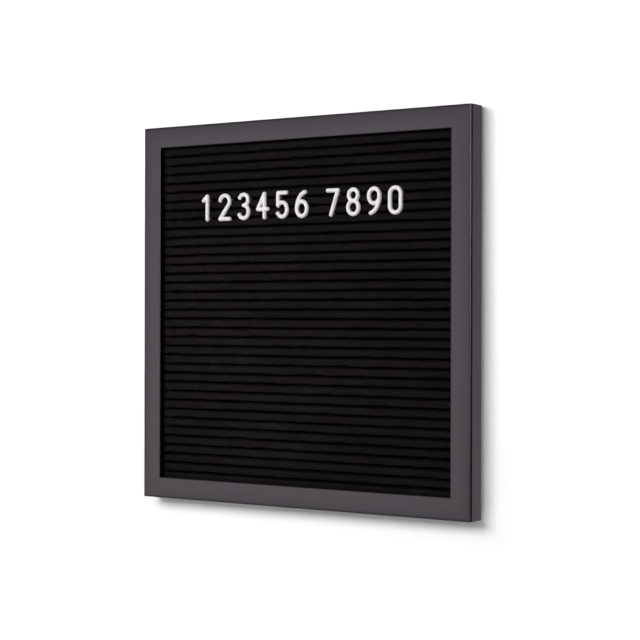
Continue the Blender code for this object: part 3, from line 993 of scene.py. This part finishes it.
strokeSection = sectionObject()
numeralFaces = [makeNumeral(digit, strokeSection) for digit in "1234567890"]
bpy.data.objects.remove(strokeSection)
print("numerals moulded, faces:", sum(numeralFaces))


# corner nails: a bent strip across each mitre on the back
cornerNailSettings = {
    "reach": 0.0032,
    "knee": 0.00192,         # where the strip bends, from its middle
    "rise": 0.0026,
    "thick": 0.0004,
    "depth": 0.006,
    "proud": 0.00006,
}


def makeCornerNails():
    s = cornerNailSettings
    land = railFace - railSettings["rebate"]
    half = s["rise"] / 2
    bend = [(-s["reach"], -half), (-s["knee"], -half), (0, half), (s["knee"], -half), (s["reach"], -half)]
    corners = {
        "upper_right": (boardHigh.x - land / 2, boardHigh.z - land / 2, 45),
        "upper_left": (boardLow.x + land / 2, boardHigh.z - land / 2, -45),
        "lower_left": (boardLow.x + land / 2, boardLow.z + land / 2, -135),
        "lower_right": (boardHigh.x - land / 2, boardLow.z + land / 2, 135),
    }
    for corner, (x, z, turn) in corners.items():
        shape = bmesh.new()
        verts = [shape.verts.new((across, s["proud"], up)) for across, up in bend]
        edges = [shape.edges.new(pair) for pair in zip(verts, verts[1:])]
        deep = newVerts(bmesh.ops.extrude_edge_only(shape, edges=edges))
        bmesh.ops.translate(shape, vec=(0, -s["depth"], 0), verts=deep)
        bmesh.ops.solidify(shape, geom=shape.faces[:], thickness=s["thick"])
        bmesh.ops.recalc_face_normals(shape, faces=shape.faces)
        place = Matrix.Translation((x, boardHigh.y, z)) @ Matrix.Rotation(radians(turn), 4, "Y")
        bmesh.ops.transform(shape, matrix=place, verts=shape.verts)
        addPiece("corner_nail_" + corner, shape, "board", ["zinc"])


makeCornerNails()
print("corner nails driven")


# CAD nodes that stay get their finish
for nodeName, node in nodes.items():
    paint = None
    if nodeName.startswith("slat_"):
        paint = "slat"
    elif nodeName == "back_board":
        paint = "hardboard"
    elif nodeName.endswith("_point") or "hanger" in nodeName:
        paint = "zinc"
    if paint:
        node.material_slots[0].material = finishes[paint]
print("inner pieces and fittings finished")


# stage: a white wall just behind the hanger, a pale floor, a large soft light and a soft fill
stageSettings = {
    "wallGap": 0.0002,
    "wallSize": 2.6,
    "wallShade": (0.97, 0.97, 0.97),
    "liftNear": 0.030,       # glow for the camera alone: little by the board, so its shadow stays
    "liftFar": 0.45,
    "liftStart": 0.140,
    "liftEnd": 0.215,
    "floorDrop": 0.55,
    "floorShade": (0.86, 0.86, 0.85),
    "floorLift": 0.45,
    "skyLevel": 0.14,
    "skyBehind": 0.95,       # what the white wall would throw back, and light for the views from behind
    "skyTurn": (0.1, 0.9),   # this and the spans below run along the sky's unit sphere
    "mirrorAzimuth": -34.0,  # brightest part of the room as the lacquer mirrors it
    "mirrorElevation": -1.4,
    "mirrorSpread": 18.0,
    "mirrorHigh": 2.38,
    "mirrorLow": 0.30,
    "mirrorRight": 0.08,
    "mirrorTurn": (0.1, 0.5),
    "mirrorTop": 0.02,       # dark band above
    "topAhead": (0.19, 0.33),
    "topBehind": (0.25, 0.5),
    "ceiling": 0.9,
    "ceilingRise": (0.7, 0.9),
    "mirrorBehind": 0.67,
    "mirrorBehindUp": 0.469,
    "behindRise": (0.0, 0.25),
    "behindTurn": (-0.05, 0.25),
    "behindTint": (1.0, 0.93, 1.0),
    "edgeLevel": 26.0,       # narrow pale panel at the right that the front edges catch
    "edgeAcross": (0.0, 0.12, 0.28, 0.40),
    "edgeUp": (0.04, 0.10, 0.13, 0.17),
    "keyPower": 9.6,
    "keySize": (0.65, 0.40),
    "keyAzimuth": -8.0,
    "keyElevation": 18.5,
    "keyDistance": 1.0,
    "fillPower": 0.9,
    "fillSize": (0.40, 0.40),
    "fillAzimuth": 45.0,
    "fillElevation": 14.0,
    "fillDistance": 1.1,
}


def pointed(azimuth, elevation):
    across, up = radians(azimuth), radians(elevation)
    return Vector((sin(across) * cos(up), -cos(across) * cos(up), sin(up)))


def addLight(name, power, size, azimuth, elevation, distance):
    data = bpy.data.lights.new(name, "AREA")
    data.energy = power
    data.shape = "RECTANGLE"
    data.size, data.size_y = size
    light = bpy.data.objects.new(name, data)
    away = pointed(azimuth, elevation)
    light.location = boardMid + away * distance
    light.rotation_mode = "QUATERNION"
    light.rotation_quaternion = away.to_track_quat("Z", "Y")
    scene.collection.objects.link(light)
    return light


def sheetFinish(name, shade, liftNear, liftFar):
    # lit white from the front, nothing from behind
    s = stageSettings
    material = bpy.data.materials.new(name)
    material.use_nodes = True
    tree = material.node_tree
    tree.nodes.clear()
    rays = Wire(tree.nodes.new("ShaderNodeLightPath").outputs["Is Camera Ray"])
    behind = rays.node("ShaderNodeNewGeometry", {}, {}, out="Backfacing")
    plain = rays.node("ShaderNodeBsdfDiffuse", {}, {"Color": (*shade, 1)})
    coords = rays.node("ShaderNodeTexCoord", {}, {}, out="Object")
    fromMid = coords.node("ShaderNodeVectorMath", {"operation": "SUBTRACT"}, {0: coords, 1: boardMid})
    sides = coords.node("ShaderNodeVectorMath", {"operation": "ABSOLUTE"}, {0: fromMid})
    across = coords.node("ShaderNodeSeparateXYZ", {}, {0: sides}, out="X")
    up = coords.node("ShaderNodeSeparateXYZ", {}, {0: sides}, out="Z")
    away = across.sums("MAXIMUM", across, up)
    lift = rays * spread(away, s["liftStart"], s["liftEnd"], liftNear, liftFar)
    glow = rays.node("ShaderNodeEmission", {}, {"Color": (1, 1, 1, 1), "Strength": lift})
    bright = rays.node("ShaderNodeAddShader", {}, {0: plain, 1: glow})
    clear = rays.node("ShaderNodeBsdfTransparent", {}, {})
    mixed = rays.node("ShaderNodeMixShader", {}, {0: behind, 1: bright, 2: clear})
    rays.node("ShaderNodeOutputMaterial", {}, {"Surface": mixed})
    return material


def addSheet(name, size, place, turn, material):
    shape = bmesh.new()
    bmesh.ops.create_grid(shape, x_segments=2, y_segments=2, size=size / 2)
    bmesh.ops.transform(shape, matrix=Matrix.Translation(place) @ turn, verts=shape.verts)
    mesh = bpy.data.meshes.new(name)
    shape.to_mesh(mesh)
    shape.free()
    mesh.materials.append(material)
    sheet = bpy.data.objects.new(name, mesh)
    scene.collection.objects.link(sheet)
    return sheet


def band(wire, start, full, fade, end):
    return spread(wire, start, full) * spread(wire, fade, end, 1.0, 0.0)


def makeSky():
    s = stageSettings
    world = bpy.data.worlds.new("studio")
    scene.world = world
    world.use_nodes = True
    tree = world.node_tree
    tree.nodes.clear()
    camera = Wire(tree.nodes.new("ShaderNodeLightPath").outputs["Is Camera Ray"])
    glossy = camera.node("ShaderNodeLightPath", {}, {}, out="Is Glossy Ray")
    view = camera.node("ShaderNodeTexCoord", {}, {}, out="Generated")
    across, depth, height = [
        camera.node("ShaderNodeSeparateXYZ", {}, {0: view}, out=axis) for axis in "XYZ"]
    aims = {0: view, 1: pointed(s["mirrorAzimuth"], s["mirrorElevation"])}
    near = camera.node("ShaderNodeVectorMath", {"operation": "DOT_PRODUCT"}, aims, out="Value")
    low = spread(across, *s["mirrorTurn"], s["mirrorLow"], s["mirrorRight"])
    glow = spread(near, cos(radians(s["mirrorSpread"])), 1.0, low, s["mirrorHigh"])
    panel = band(across, *s["edgeAcross"]) * band(height, *s["edgeUp"])
    ahead = glow * spread(height, *s["topAhead"], 1.0, s["mirrorTop"]) + panel * s["edgeLevel"]
    rear = spread(height, *s["behindRise"], s["mirrorBehind"], s["mirrorBehindUp"])
    rear = rear * spread(height, *s["topBehind"], 1.0, s["mirrorTop"])
    behind = spread(depth, *s["behindTurn"])
    above = spread(height, *s["ceilingRise"], 0.0, s["ceiling"])
    mirrored = (1 - behind) * ahead + behind * rear + above
    level = spread(depth, *s["skyTurn"], s["skyLevel"], s["skyBehind"])
    strength = camera + (1 - camera) * (glossy * mirrored + (1 - glossy) * level)
    tint = blendShades((1 - camera) * glossy * behind, (1, 1, 1), s["behindTint"])
    sky = camera.node("ShaderNodeBackground", {}, {"Color": tint, "Strength": strength})
    camera.node("ShaderNodeOutputWorld", {}, {"Surface": sky})


def makeStage():
    s = stageSettings
    wallPlace = (boardMid.x, cadBox[1].y + s["wallGap"], boardMid.z)
    wallTurn = Matrix.Rotation(pi / 2, 4, "X")
    wallFinish = sheetFinish("white_wall", s["wallShade"], s["liftNear"], s["liftFar"])
    wall = addSheet("wall", s["wallSize"], wallPlace, wallTurn, wallFinish)
    floorPlace = (boardMid.x, wallPlace[1] - s["wallSize"] / 2, boardLow.z - s["floorDrop"])
    floorFinish = sheetFinish("pale_floor", s["floorShade"], s["floorLift"], s["floorLift"])
    floor = addSheet("floor", s["wallSize"], floorPlace, Matrix.Identity(4), floorFinish)
    floor.visible_glossy = False
    wall.visible_diffuse = False                          # so the sky lights the back from behind
    wall.visible_shadow = False
    wall.visible_glossy = False                           # the world stands for it in reflections
    makeSky()
    key = addLight(
        "key", s["keyPower"], s["keySize"], s["keyAzimuth"], s["keyElevation"], s["keyDistance"])
    fill = addLight(
        "fill", s["fillPower"], s["fillSize"], s["fillAzimuth"], s["fillElevation"], s["fillDistance"])
    key.visible_glossy = False                            # the lacquer mirrors the room, not the lamps
    fill.visible_glossy = False


makeStage()
print("stage lit")
